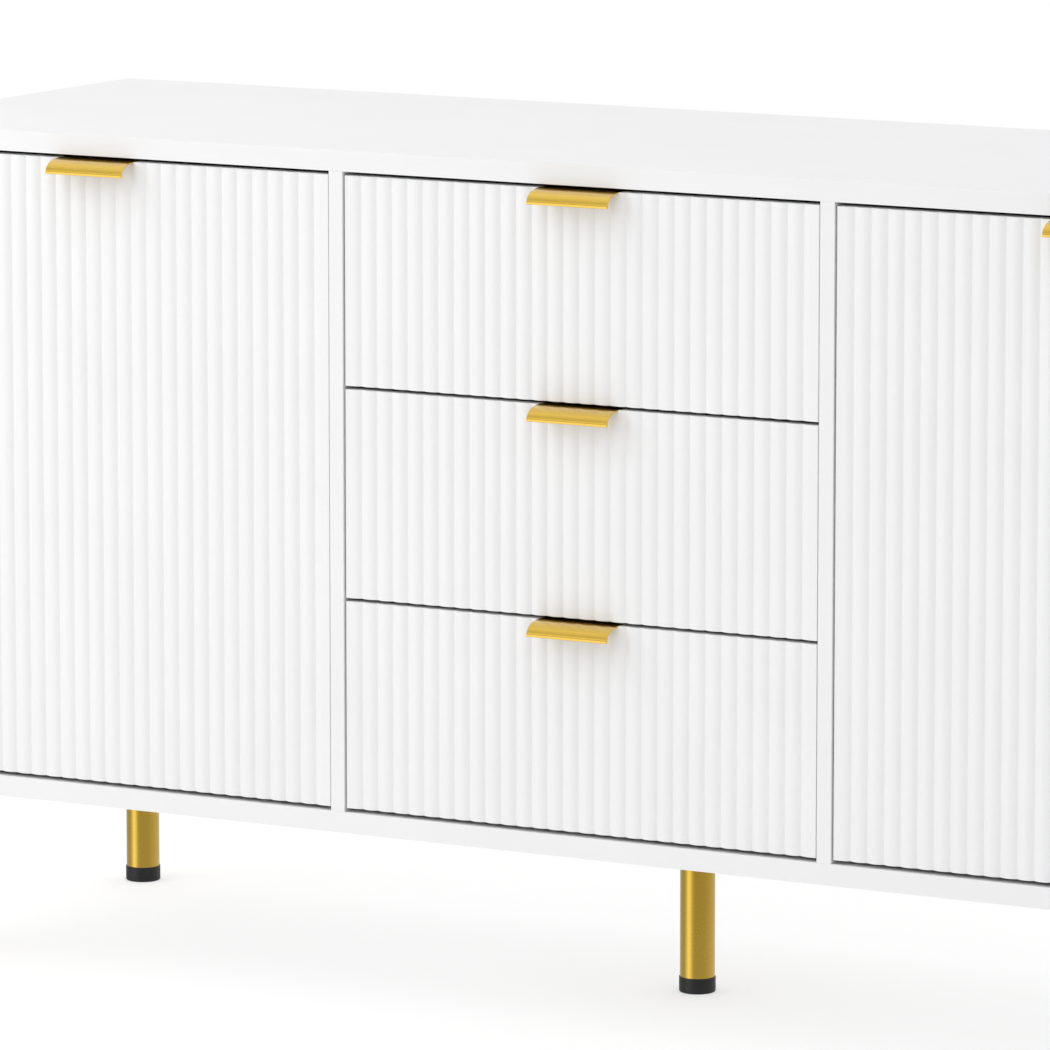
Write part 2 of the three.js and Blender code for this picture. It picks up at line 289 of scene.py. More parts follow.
def ranged(tree, value, low, high):
    """value's middle span, 0.3 to 0.7, mapped to low..high."""
    node = add_node(
        tree,
        "ShaderNodeMapRange",
        {"Value": value, "From Min": 0.3, "From Max": 0.7, "To Min": low, "To Max": high},
    )
    return node.outputs["Result"]


def mixed(tree, factor, first, second):
    node = add_node(tree, "ShaderNodeMix", data_type="RGBA")
    tree.links.new(factor, node.inputs["Factor"])
    for key, value in (("A", first), ("B", second)):
        socket = next(s for s in node.inputs if s.name == key and s.type == "RGBA")
        if isinstance(value, bpy.types.NodeSocket):
            tree.links.new(value, socket)
        else:
            socket.default_value = (*value, 1.0)
    return next(s for s in node.outputs if s.type == "RGBA")


def bumped(tree, layers):
    """A normal from bump layers, each (height, distance in metres, strength)."""
    normal = None
    for height, distance, strength in layers:
        inputs = {"Height": height, "Distance": distance, "Strength": strength}
        if normal is not None:
            inputs["Normal"] = normal
        normal = add_node(tree, "ShaderNodeBump", inputs).outputs["Normal"]
    return normal


def edge_wear_and_highlight(tree, low=0.52, high=0.6):
    """1 on sharp convex edges, 0 on flat faces: the edges that are lightened, partly as rubbed wear and
    partly as a painted highlight.
    """
    pointiness = add_node(tree, "ShaderNodeNewGeometry").outputs["Pointiness"]
    node = add_node(
        tree,
        "ShaderNodeMapRange",
        {"Value": pointiness, "From Min": low, "From Max": high, "To Min": 0.0, "To Max": 1.0},
    )
    return node.outputs["Result"]


def paint_material(name, light, dark, roughness, peel, peel_depth):
    """Sprayed white lacquer: faint clouding, orange peel and fine dust in the film."""
    material, tree, shader = material_nodes(name)
    clouds = ranged(tree, noise(tree, scale=9, detail=4), 0.0, 1.0)
    tree.links.new(mixed(tree, clouds, dark, light), shader.inputs["Base Color"])
    gloss = ranged(tree, noise(tree, scale=26, detail=5), roughness - 0.05, roughness + 0.06)
    tree.links.new(gloss, shader.inputs["Roughness"])
    layers = [
        (noise(tree, peel, detail=2), peel_depth, 0.35),
        (noise(tree, 6 * peel, detail=1), 0.3 * peel_depth, 0.25),
    ]
    tree.links.new(bumped(tree, layers), shader.inputs["Normal"])
    shader.inputs["IOR"].default_value = 1.5
    return material


def board_material(name, light, dark, roughness, stretch, scale, depth):
    """Faced board: a printed foil with a faint lengthwise pore."""
    material, tree, shader = material_nodes(name)
    pores = noise(tree, scale, stretch=stretch, detail=6, roughness=0.65)
    clouds = ranged(tree, noise(tree, scale=14, detail=3), 0.0, 1.0)
    base = mixed(tree, clouds, dark, light)
    tree.links.new(mixed(tree, ranged(tree, pores, 0.0, 0.35), base, dark), shader.inputs["Base Color"])
    tree.links.new(ranged(tree, pores, roughness + 0.06, roughness - 0.06), shader.inputs["Roughness"])
    tree.links.new(bumped(tree, [(pores, depth, 0.5)]), shader.inputs["Normal"])
    return material


def metal_material(name, light, dark, roughness, stretch, scale, depth, edge):
    """Plated metal: fine brushed lines, faint blotches, and brighter edges that are partly rubbed wear
    and partly a painted highlight.
    """
    material, tree, shader = material_nodes(name)
    lines = noise(tree, scale, stretch=stretch, detail=5, roughness=0.7)
    blotches = ranged(tree, noise(tree, scale=60, detail=4), 0.0, 1.0)
    base = mixed(tree, blotches, dark, light)
    # Sharp edges are mixed towards the edge colour: a painted highlight along the edges, as well as
    # rubbed wear.
    base = mixed(tree, edge_wear_and_highlight(tree), base, edge)
    tree.links.new(base, shader.inputs["Base Color"])
    tree.links.new(ranged(tree, lines, roughness - 0.05, roughness + 0.07), shader.inputs["Roughness"])
    layers = [(lines, depth, 0.35), (noise(tree, scale=240, detail=2), 2 * depth, 0.15)]
    tree.links.new(bumped(tree, layers), shader.inputs["Normal"])
    shader.inputs["Metallic"].default_value = 1.0
    return material


def add_varnish(material, weight, roughness, ior):
    """A clear film over the material."""
    shader = material.node_tree.nodes["Principled BSDF"]
    shader.inputs["Coat Weight"].default_value = weight
    shader.inputs["Coat Roughness"].default_value = roughness
    shader.inputs["Coat IOR"].default_value = ior


def plastic_material(name, light, dark, roughness, texture, depth):
    """Moulded plastic with a fine spark-eroded texture."""
    material, tree, shader = material_nodes(name)
    patches = ranged(tree, noise(tree, scale=120, detail=4), 0.0, 1.0)
    base = mixed(tree, patches, dark, light)
    # Sharp edges are mixed towards the light colour: a painted highlight along the edges, as well as
    # rubbed wear.
    tree.links.new(mixed(tree, edge_wear_and_highlight(tree), base, light), shader.inputs["Base Color"])
    tree.links.new(
        ranged(tree, noise(tree, scale=300, detail=3), roughness - 0.07, roughness + 0.07),
        shader.inputs["Roughness"],
    )
    tree.links.new(bumped(tree, [(noise(tree, texture, detail=2), depth, 0.5)]), shader.inputs["Normal"])
    return material


MATERIALS = {
    "cabinet_board": paint_material(
        "cabinet_lacquer",
        light=(0.93, 0.93, 0.93),
        dark=(0.915, 0.915, 0.917),
        roughness=0.4,
        peel=420,
        peel_depth=0.03 * MM,
    ),
    "fluted_board": paint_material(
        "front_lacquer",
        light=(0.94, 0.94, 0.94),
        dark=(0.925, 0.925, 0.927),
        roughness=0.44,
        peel=520,
        peel_depth=0.03 * MM,
    ),
    "drawer_board": board_material(
        "drawer_foil",
        light=(0.92, 0.92, 0.91),
        dark=(0.86, 0.86, 0.85),
        roughness=0.5,
        stretch=(0.06, 0.06, 1.0),
        scale=900,
        depth=0.05 * MM,
    ),
    "thin_board": board_material(
        "hardboard_face",
        light=(0.9, 0.9, 0.89),
        dark=(0.82, 0.82, 0.8),
        roughness=0.58,
        stretch=(1.0, 1.0, 1.0),
        scale=700,
        depth=0.06 * MM,
    ),
    "gold_metal": metal_material(
        "satin_gold",
        light=(0.78, 0.495, 0.022),
        dark=(0.74, 0.46, 0.015),
        # Edge colour: a painted highlight on sharp edges, as well as rubbed wear.
        edge=(0.88, 0.58, 0.08),
        roughness=0.24,
        stretch=(0.04, 1.0, 1.0),
        scale=2600,
        depth=0.02 * MM,
    ),
    "foot_plastic": plastic_material(
        "black_plastic",
        light=(0.016, 0.016, 0.016),
        dark=(0.009, 0.009, 0.009),
        roughness=0.42,
        texture=2400,
        depth=0.03 * MM,
    ),
    "slide_steel": metal_material(
        "zinc_steel",
        light=(0.66, 0.67, 0.69),
        dark=(0.58, 0.59, 0.62),
        # Edge colour: a painted highlight on sharp edges, as well as rubbed wear.
        edge=(0.78, 0.79, 0.8),
        roughness=0.34,
        stretch=(1.0, 0.03, 1.0),
        scale=2200,
        depth=0.02 * MM,
    ),
    "hinge_steel": metal_material(
        "nickel_steel",
        light=(0.74, 0.73, 0.7),
        dark=(0.66, 0.65, 0.62),
        # Edge colour: a painted highlight on sharp edges, as well as rubbed wear.
        edge=(0.84, 0.83, 0.8),
        roughness=0.26,
        stretch=(1.0, 0.1, 1.0),
        scale=1800,
        depth=0.015 * MM,
    ),
}
add_varnish(MATERIALS["gold_metal"], weight=1.0, roughness=0.16, ior=1.6)


def to_mesh(bm, name, smooth_angle=SMOOTH_ANGLE):
    """The bmesh as a mesh with outward normals, smooth across edges blunter than smooth_angle."""
    bmesh.ops.recalc_face_normals(bm, faces=bm.faces)
    mesh = bpy.data.meshes.new(name)
    bm.to_mesh(mesh)
    bm.free()
    mesh.shade_smooth()
    mesh.set_sharp_from_angle(angle=math.radians(smooth_angle))
    return mesh


def link_object(name, mesh):
    piece = bpy.data.objects.new(name, mesh)
    bpy.context.scene.collection.objects.link(piece)
    return piece


def add_piece(name, mesh, slot, body, replaced=()):
    """A visible piece of the object, on a CAD body, with its slot's material."""
    piece = link_object(name, mesh)
    mesh.materials.clear()
    mesh.materials.append(MATERIALS[slot])
    normals = piece.modifiers.new("even_normals", "WEIGHTED_NORMAL")
    normals.keep_sharp = True
    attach(piece, body)
    if replaced:
        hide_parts(*replaced)


def replace_node(node, mesh):
    """A visible piece in place of one CAD node."""
    add_piece(f"{node}_shaped", mesh, SLOT_OF[node], BODY_OF[node], [node])


def combined(operation, mesh, others, smooth_angle=SMOOTH_ANGLE):
    """mesh after one boolean operation with each of the other closed meshes."""
    piece = link_object("piece", mesh)
    tools = [link_object("tool", other) for other in others]
    for tool in tools:
        step = piece.modifiers.new("step", "BOOLEAN")
        step.operation = operation
        step.solver = "EXACT"
        step.object = tool
    bpy.context.view_layer.update()
    evaluated = piece.evaluated_get(bpy.context.evaluated_depsgraph_get())
    result = bpy.data.meshes.new_from_object(evaluated)
    for leftover in (piece, *tools):
        bpy.data.objects.remove(leftover)
    result.shade_smooth()
    result.set_sharp_from_angle(angle=math.radians(smooth_angle))
    return result


def carved(mesh, cutters, smooth_angle=SMOOTH_ANGLE):
    """mesh with the closed meshes in cutters taken away."""
    return combined("DIFFERENCE", mesh, cutters, smooth_angle)


def joined(meshes):
    """Closed meshes melted into one closed mesh."""
    return combined("UNION", meshes[0], meshes[1:])


def add_box(bm, low, high):
    """A box between two corners; returns its vertices."""
    low, high = Vector(low), Vector(high)
    place = Matrix.Translation((low + high) / 2) @ Matrix.Diagonal((*(high - low), 1.0))
    return bmesh.ops.create_cube(bm, size=1.0, matrix=place)["verts"]


def box_mesh(low, high):
    bm = bmesh.new()
    add_box(bm, low, high)
    return to_mesh(bm, "box")


def bevel_edges(bm, edges, radius, segments=3):
    bmesh.ops.bevel(
        bm,
        geom=list(edges),
        offset=radius,
        offset_type="OFFSET",
        segments=segments,
        profile=0.5,
        affect="EDGES",
        clamp_overlap=True,
    )


def rounded_box_mesh(first, second, radius, segments):
    """A box between two opposite corners, with every edge rounded."""
    low = Vector(map(min, first, second))
    high = Vector(map(max, first, second))
    bm = bmesh.new()
    corners = add_box(bm, low, high)
    edges = {edge for corner in corners for edge in corner.link_edges}
    bevel_edges(bm, edges, radius, segments)
    return to_mesh(bm, "rounded_box")


def own_shape(node):
    """A bmesh of the CAD node's own shape, without doubled points or split flat faces."""
    bm = bmesh.new()
    bm.from_mesh(frame["nodes"][node].data)
    bmesh.ops.remove_doubles(bm, verts=bm.verts, dist=SAME_PLACE)
    bmesh.ops.dissolve_limit(bm, angle_limit=math.radians(1), verts=bm.verts, edges=bm.edges)
    return bm


def outer_edges(bm, low, high, axes):
    """The edges along the given axes that lie on an arris of the box from low to high."""
    found = []
    for edge in bm.edges:
        first, second = (corner.co for corner in edge.verts)
        along = max(range(3), key=lambda axis: abs(first[axis] - second[axis]))
        across = [axis for axis in range(3) if axis != along]
        flush = all(
            abs(first[axis] - second[axis]) < SAME_PLACE
            and min(abs(first[axis] - low[axis]), abs(first[axis] - high[axis])) < SAME_PLACE
            for axis in across
        )
        if along in axes and flush:
            found.append(edge)
    return found


def soften_board(node, radius, axes=(0, 1, 2)):
    """The node's own shape with its arrises along the given axes eased."""
    bm = own_shape(node)
    low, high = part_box(node)
    bevel_edges(bm, outer_edges(bm, low, high, axes), radius)
    replace_node(node, to_mesh(bm, node))


def circle(radius, steps):
    """Points round a circle, anticlockwise."""
    for step in range(steps):
        angle = math.tau * step / steps
        yield radius * math.cos(angle), radius * math.sin(angle)


def lathe_mesh(name, profile, centre, steps=ROUND_STEPS):
    """A closed body turned about the vertical through centre. profile is (radius, height) pairs."""
    bm = bmesh.new()
    rings = []
    for radius, height in profile:
        count = 1 if radius == 0 else steps
        rings.append([
            bm.verts.new((centre[0] + x, centre[1] + y, height))
            for x, y in circle(radius, count)
        ])
    pairs = list(zip(rings, rings[1:]))
    if len(rings[0]) > 1:
        pairs.append((rings[-1], rings[0]))
    for lower, upper in pairs:
        for step in range(steps):
            following = (step + 1) % steps
            corners = [
                lower[step % len(lower)], lower[following % len(lower)],
                upper[following % len(upper)], upper[step % len(upper)],
            ]
            bm.faces.new(list(dict.fromkeys(corners)))
    return to_mesh(bm, name)


def arc(centre, radius, start, end, steps=5):
    """Points round part of a circle, in degrees."""
    for step in range(steps + 1):
        angle = math.radians(start + (end - start) * step / steps)
        yield centre[0] + radius * math.cos(angle), centre[1] + radius * math.sin(angle)


def extrude_outline(bm, outline, place, length):
    """A closed outline in place's XY plane, extruded along its Z from 0 to length."""
    ends = [
        [bm.verts.new(place @ Vector((x, y, z))) for x, y in outline]
        for z in (0.0, length)
    ]
    count = len(outline)
    for step in range(count):
        following = (step + 1) % count
        bm.faces.new([ends[0][step], ends[0][following], ends[1][following], ends[1][step]])
    bm.faces.new(ends[0][::-1])
    bm.faces.new(ends[1])


# Screws: a low domed head with a cross recess, on a local Z that points out of the surface.
def screw_outline(radius):
    """The cross recess's corners, anticlockwise."""
    narrow = SCREW_CROSS * radius
    reach = SCREW_CROSS_REACH * radius
    quarter = [(reach, -narrow), (reach, narrow), (narrow, narrow)]
    points = []
    for turn in range(4):
        angle = turn * math.pi / 2
        points += [
            (x * math.cos(angle) - y * math.sin(angle), x * math.sin(angle) + y * math.cos(angle))
            for x, y in quarter
        ]
    return points


def add_screw(bm, place, radius, height):
    """A screw head standing height off the surface at place."""
    rings = [
        [
            bm.verts.new(place @ Vector((x, y, rise * height)))
            for x, y in circle(share * radius, SCREW_STEPS)
        ]
        for share, rise in SCREW_RIM
    ]
    bm.faces.new(rings[0][::-1])
    for lower, upper in zip(rings, rings[1:]):
        for step in range(SCREW_STEPS):
            following = (step + 1) % SCREW_STEPS
            bm.faces.new([lower[step], lower[following], upper[following], upper[step]])
    cross = screw_outline(radius)
    mouth = [bm.verts.new(place @ Vector((x, y, height))) for x, y in cross]
    share, depth = SCREW_CROSS_FLOOR, SCREW_CROSS_FLOOR_HEIGHT * height
    floor = [bm.verts.new(place @ Vector((share * x, share * y, depth))) for x, y in cross]
    edges = []
    for loop in (rings[-1], mouth):
        for pair in zip(loop, loop[1:] + loop[:1]):
            edges.append(bm.edges.get(pair) or bm.edges.new(pair))
    bmesh.ops.triangle_fill(bm, edges=edges, use_beauty=True, use_dissolve=False)
    count = len(cross)
    for step in range(count):
        following = (step + 1) % count
        bm.faces.new([mouth[step], mouth[following], floor[following], floor[step]])
    bm.faces.new(floor)


def facing(point, direction, twist):
    """A placement at point whose Z looks along direction, turned about it by twist radians."""
    turn = Vector(direction).to_track_quat("Z", "Y").to_matrix().to_4x4()
    return Matrix.Translation(point) @ turn @ Matrix.Rotation(twist, 4, "Z")


def add_screws(name, places, head, slot, body):
    """One piece of equal screws, whose crosses stop at the twists that their places have."""
    bm = bmesh.new()
    for place in places:
        add_screw(bm, place, *head)
    add_piece(name, to_mesh(bm, name), slot, body)


# Cabinet boards
def add_carcass():
    for node in ("top_panel", "bottom_panel"):
        soften_board(node, BOARD_ARRIS)
    for node in ("left_side_panel", "right_side_panel", "left_divider", "right_divider"):
        soften_board(node, BOARD_ARRIS, axes=(2,))
    for node in ("left_shelf", "right_shelf"):
        soften_board(node, BOARD_ARRIS, axes=(0, 1))
    soften_board("back_panel", BOARD_ARRIS)


# Fluted fronts
def flute_depth(offset, pitch):
    """How deep the face lies at an offset from a flute's crown, with the valley's foot softened."""
    half = pitch / 2
    radius = (half * half + FLUTE_DEPTH * FLUTE_DEPTH) / (2 * FLUTE_DEPTH)
    soft = half - VALLEY_SOFTNESS
    reach = min(abs(offset), soft)
    depth = radius - math.sqrt(radius * radius - reach * reach)
    if abs(offset) > soft:
        slope = soft / math.sqrt(radius * radius - soft * soft)
        share = (half - abs(offset)) / VALLEY_SOFTNESS
        depth += 0.5 * slope * VALLEY_SOFTNESS * (1 - share * share)
    return depth


def flute_offsets(pitch):
    """Sample offsets across one flute, from valley to valley, without the last valley."""
    soft = pitch / 2 - VALLEY_SOFTNESS
    arcs = [soft * step / FLUTE_STEPS for step in range(-FLUTE_STEPS, FLUTE_STEPS + 1)]
    return [-pitch / 2, -pitch / 2 + VALLEY_SOFTNESS / 2, *arcs, pitch / 2 - VALLEY_SOFTNESS / 2]


def front_profile(width):
    """The front face from left to right as (x, depth): eased side arrises, flat end lands, flutes."""
    pitch = width / FLUTE_COUNT
    arris = list(arc((FRONT_ARRIS, FRONT_ARRIS), FRONT_ARRIS, 180, 270, ARRIS_STEPS))
    points = [(x - width / 2, depth) for x, depth in arris]
    for flute in range(FLUTE_COUNT):
        crown = (flute + 0.5) * pitch - width / 2
        for offset in flute_offsets(pitch):
            outer_half = (flute == 0 and offset < 0) or (flute == FLUTE_COUNT - 1 and offset > 0)
            if not outer_half:
                points.append((crown + offset, flute_depth(offset, pitch)))
    points += [(width / 2 - x, depth) for x, depth in arris[::-1]]
    return points


def fluted_mesh(low, high):
    """A fluted board in the box from low to high, its front face towards -Y, its ends eased."""
    profile = front_profile(high.x - low.x)
    middle = (low.x + high.x) / 2
    ease = list(arc((0, 0), FRONT_ARRIS, 0, 90, ARRIS_STEPS))
    levels = [(low.z + FRONT_ARRIS - rise, FRONT_ARRIS - inset) for inset, rise in ease[::-1]]
    levels += [(high.z - FRONT_ARRIS + rise, FRONT_ARRIS - inset) for inset, rise in ease]
    bm = bmesh.new()
    rows = []
    for z, inset in levels:
        front = [bm.verts.new((middle + x, low.y + depth + inset, z)) for x, depth in profile]
        back = [bm.verts.new((x, high.y, z)) for x in (high.x, low.x)]
        rows.append(front + back)
    count = len(rows[0])
    for lower, upper in zip(rows, rows[1:]):
        for step in range(count):
            following = (step + 1) % count
            bm.faces.new([lower[step], lower[following], upper[following], upper[step]])
    bm.faces.new(rows[0][::-1])
    bm.faces.new(rows[-1])
    return to_mesh(bm, "fluted_board", FLUTE_SMOOTH_ANGLE)


def recess_cutter(handle, panel_low, panel_high):
    """The shallow recess that a pull's sheet lies in, across the front's top edge."""
    low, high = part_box(handle)
    return box_mesh(
        (low.x, panel_low.y - CUTTER_MARGIN, panel_high.z - PULL_RECESS_DEPTH),
        (high.x, panel_high.y + CUTTER_MARGIN, panel_high.z + CUTTER_MARGIN),
    )


def cup_centre(side, hinge_arm, panel):
    """Where a hinge cup's axis meets the door's back face."""
    panel_low, panel_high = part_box(panel)
    arm_low, arm_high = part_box(hinge_arm)
    edge = panel_high.x if side > 0 else panel_low.x
    return Vector((edge - side * CUP_CENTRE_INSET, panel_high.y, (arm_low.z + arm_high.z) / 2))


def cup_cutter(centre):
    """A round pocket bored forwards into a door's back face."""
    bm = bmesh.new()
    bmesh.ops.create_cone(
        bm,
        cap_ends=True,
        segments=ROUND_STEPS,
        radius1=CUP_RADIUS,
        radius2=CUP_RADIUS,
        depth=2 * CUP_DEPTH,
        matrix=Matrix.Translation(centre) @ Matrix.Rotation(math.pi / 2, 4, "X"),
    )
    return to_mesh(bm, "pocket")


def add_door_panel(name, side):
    panel = f"{name}_door_panel"
    low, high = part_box(panel)
    cutters = [recess_cutter(f"{name}_door_handle", low, high)]
    for level in ("lower", "upper"):
        cutters.append(cup_cutter(cup_centre(side, f"{name}_{level}_hinge_arm", panel)))
    replace_node(panel, carved(fluted_mesh(low, high), cutters, FLUTE_SMOOTH_ANGLE))


def add_drawer_front(level):
    panel = f"{level}_drawer_front"
    low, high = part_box(panel)
    bottom_low, bottom_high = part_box(f"{level}_drawer_bottom")
    play = Vector((GROOVE_PLAY, GROOVE_PLAY, GROOVE_PLAY))
    cutters = [
        recess_cutter(f"{level}_drawer_handle", low, high),
        box_mesh(bottom_low - play, bottom_high + play),
    ]
    replace_node(panel, carved(fluted_mesh(low, high), cutters, FLUTE_SMOOTH_ANGLE))


# Pulls
def pull_outline(back, reach, tab):
    """The bent sheet from the side: x is the reach in front of the face, y the height above its top."""
    def quarter(length, drop, start):
        angles = [math.pi / 2 * step / PULL_STEPS for step in range(PULL_STEPS + 1)]
        return [(length * math.sin(angle), start - drop * (1 - math.cos(angle))) for angle in angles]

    face_drop = PULL_DROP - PULL_LIP_HEIGHT
    lip_back = reach - PULL_LIP_THICKNESS
    tab_back = back - PULL_THICKNESS
    bend = list(arc((tab_back + PULL_BEND, -PULL_BEND), PULL_BEND, 180, 90, 6))
    return [
        (back, -tab),
        (tab_back, -tab),
        *bend,
        *quarter(reach - PULL_LIP_STAND, face_drop, 0.0),
        (reach, -face_drop - PULL_LIP_SLOPE),
        (reach, -PULL_DROP),
        (lip_back, -PULL_DROP),
        *quarter(lip_back, face_drop - PULL_THICKNESS, -PULL_THICKNESS)[::-1],
        (back, -PULL_THICKNESS),
    ]


def add_pull(handle, panel):
    low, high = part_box(handle)
    face, back_face = (corner.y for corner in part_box(panel))
    outline = pull_outline(face - back_face, face - low.y, high.z - low.z)
    place = Matrix((
        (0, 0, 1, low.x),
        (-1, 0, 0, face),
        (0, 1, 0, high.z),
        (0, 0, 0, 1),
    ))
    bm = bmesh.new()
    extrude_outline(bm, outline, place, high.x - low.x)
    bmesh.ops.recalc_face_normals(bm, faces=bm.faces)
    sharp_angle = math.radians(PULL_SHARP_ANGLE)
    sharp = [edge for edge in bm.edges if edge.calc_face_angle(0) > sharp_angle]
    bevel_edges(bm, sharp, PULL_EDGE, segments=2)
    replace_node(handle, to_mesh(bm, handle, PULL_SMOOTH_ANGLE))
    middle = (low.x + high.x) / 2
    places = [
        facing(Vector((middle + shift, high.y, low.z + PULL_SCREW_RISE)), (0, 1, 0), 0.4 + 30 * shift)
        for shift in (-PULL_SCREW_REACH, PULL_SCREW_REACH)
    ]
    add_screws(f"{handle}_screws", places, PULL_SCREW, "slide_steel", BODY_OF[handle])


# Legs and feet
def leg_profile(low_z, high_z, radius, plate_radius):
    """Half the section of a leg: a tube welded under a round plate."""
    bore = radius - LEG_WALL
    plate_low = high_z - LEG_PLATE_THICKNESS
    rim = plate_radius - LEG_PLATE_EDGE
    return [
        (0, plate_low - LEG_BORE_STOP), (bore, plate_low - LEG_BORE_STOP), (bore, low_z),
        (radius - LEG_END_EDGE, low_z), (radius, low_z + LEG_END_EDGE),
        *arc((radius + LEG_WELD, plate_low - LEG_WELD), LEG_WELD, 180, 90, 5),
        *arc((rim, plate_low + LEG_PLATE_EDGE), LEG_PLATE_EDGE, 270, 360, 4),
        *arc((rim, high_z - LEG_PLATE_EDGE), LEG_PLATE_EDGE, 0, 90, 4),
        (0, high_z),
    ]


def foot_profile(low_z, high_z, radius, leg_radius, leg_end):
    """Half the section of a cap: a cup round the leg's end, with a recessed sole."""
    sole = low_z + FOOT_SOLE_RECESS
    bore = leg_radius + FOOT_BORE_PLAY
    return [
        (0, sole), (FOOT_SOLE_RADIUS, sole), (FOOT_SOLE_RIM_RADIUS, low_z),
        *arc((radius - FOOT_BOTTOM_EDGE, low_z + FOOT_BOTTOM_EDGE), FOOT_BOTTOM_EDGE, 270, 360, 6),
        *arc((radius - FOOT_RIM_EDGE, high_z - FOOT_RIM_EDGE), FOOT_RIM_EDGE, 0, 90, 3),
        (bore, high_z), (bore, leg_end), (0, leg_end),
    ]


def add_leg(name):
    leg, foot = f"{name}_leg", f"{name}_foot"
    low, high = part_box(leg)
    foot_low, foot_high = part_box(foot)
    centre = (low + high) / 2
    plate_radius = (high.x - low.x) / 2
    foot_radius = (foot_high.x - foot_low.x) / 2
    radius = foot_radius - FOOT_WALL
    replace_node(leg, lathe_mesh(leg, leg_profile(low.z, high.z, radius, plate_radius), centre))
    cap = foot_profile(foot_low.z, foot_high.z, foot_radius, radius, low.z)
    replace_node(foot, lathe_mesh(foot, cap, centre))
    reach = LEG_SCREW_SHARE * plate_radius
    under_plate = high.z - LEG_PLATE_THICKNESS
    places = []
    for turn in range(4):
        angle = math.radians(45 + 90 * turn)
        x, y = centre.x + reach * math.cos(angle), centre.y + reach * math.sin(angle)
        places.append(facing(Vector((x, y, under_plate)), (0, 0, -1), 0.3 + 0.5 * turn))
    add_screws(f"{leg}_screws", places, LEG_SCREW, "slide_steel", BODY_OF[leg])


# Drawer boxes
def add_drawer_box(level):
    for side in ("left", "right"):
        soften_board(f"{level}_drawer_{side}_side", DRAWER_BOARD_ARRIS, axes=(1,))
    soften_board(f"{level}_drawer_back", DRAWER_BOARD_ARRIS, axes=(0,))
    soften_board(f"{level}_drawer_bottom", BOARD_ARRIS)


# Slides
def add_slide_member(node, outward):
    """A rolled channel with screws in its web. outward is the way its open side faces along X."""
    bm = own_shape(node)
    lengthwise = [
        edge for edge in bm.edges
        if abs(edge.verts[0].co.y - edge.verts[1].co.y) > SLIDE_LENGTHWISE
    ]
    bevel_edges(bm, lengthwise, SLIDE_BEND)
    replace_node(node, to_mesh(bm, node))
    low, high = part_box(node)
    web = (low.x if outward > 0 else high.x) + outward * SLIDE_SHEET
    middle = (low.z + high.z) / 2
    places = []
    for share in SLIDE_SCREW_SHARES:
        point = Vector((web, low.y + share * (high.y - low.y), middle))
        places.append(facing(point, (outward, 0, 0), 0.3 + 4 * share))
    add_screws(f"{node}_screws", places, SLIDE_SCREW, "slide_steel", BODY_OF[node])


def add_ball_cage(stem, side):
    """The pressed strip that holds the balls between the two members of one slide."""
    outer_low, outer_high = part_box(f"{stem}_cabinet_slide")
    inner_low, inner_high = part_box(f"{stem}_drawer_slide")
    middle = (outer_low.z + outer_high.z) / 2
    outer_half = (outer_high.z - outer_low.z) / 2 - SLIDE_SHEET
    inner_half = (inner_high.z - inner_low.z) / 2
    track = (outer_half + inner_half) / 2
    outer_tip = outer_low.x if side > 0 else outer_high.x
    inner_tip = inner_high.x if side > 0 else inner_low.x
    ball_x = (outer_tip + inner_tip) / 2
    web_front = inner_tip + side * CAGE_WEB_GAP
    web_back = web_front + side * CAGE_SHEET
    start = outer_low.y + CAGE_INSET
    end = start + CAGE_LENGTH
    half = CAGE_SHEET / 2
    strips = [((web_front, start, middle - track - half), (web_back, end, middle + track + half))]
    for sign in (-1, 1):
        z = middle + sign * track
        strips.append(((ball_x - side * CAGE_LIP, start, z - half), (web_back, end, z + half)))
    cage = joined([rounded_box_mesh(first, second, CAGE_EDGE, 2) for first, second in strips])
    add_piece(f"{stem}_ball_cage", cage, "slide_steel", "cabinet")
    bm = bmesh.new()
    for sign in (-1, 1):
        for ball in range(BALL_COUNT):
            y = start + CAGE_LENGTH * (ball + 0.5) / BALL_COUNT
            bmesh.ops.create_uvsphere(
                bm,
                u_segments=BALL_SEGMENTS,
                v_segments=BALL_RINGS,
                radius=BALL_RADIUS,
                matrix=Matrix.Translation((ball_x, y, middle + sign * track)),
            )
    add_piece(f"{stem}_balls", to_mesh(bm, "balls"), "hinge_steel", "cabinet")


def add_slides(level):
    for name, side in (("left", -1), ("right", 1)):
        stem = f"{level}_{name}"
        add_slide_member(f"{stem}_cabinet_slide", -side)
        add_slide_member(f"{stem}_drawer_slide", side)
        add_ball_cage(stem, side)


# Hinges
def hinge_plate_mesh(panel, side, front, middle, plate_start, plate_end, half_height):
    """The winged plate on a side panel's face, between two places back from the arm's front."""
    wing_start, wing_end = plate_start + HINGE_WING_START, plate_start + HINGE_WING_END
    upper_half = [
        (plate_start, HINGE_PLATE_HALF_HEIGHT),
        (wing_start, HINGE_PLATE_HALF_HEIGHT),
        (wing_start, half_height),
        (wing_end, half_height),
        (wing_end, HINGE_PLATE_HALF_HEIGHT),
        (plate_end, HINGE_PLATE_HALF_HEIGHT),
    ]
    place = Matrix((
        (0, 0, -side, panel),
        (1, 0, 0, front),
        (0, 1, 0, middle),
        (0, 0, 0, 1),
    ))
    bm = bmesh.new()
    outline = upper_half + [(y, -z) for y, z in upper_half[::-1]]
    extrude_outline(bm, outline, place, HINGE_PLATE_THICKNESS)
    through = [
        edge for edge in bm.edges
        if abs(edge.verts[0].co.x - edge.verts[1].co.x) > HINGE_PLATE_THICKNESS / 2
    ]
    bevel_edges(bm, through, HINGE_PLATE_CORNER, 4)
    return to_mesh(bm, "plate")


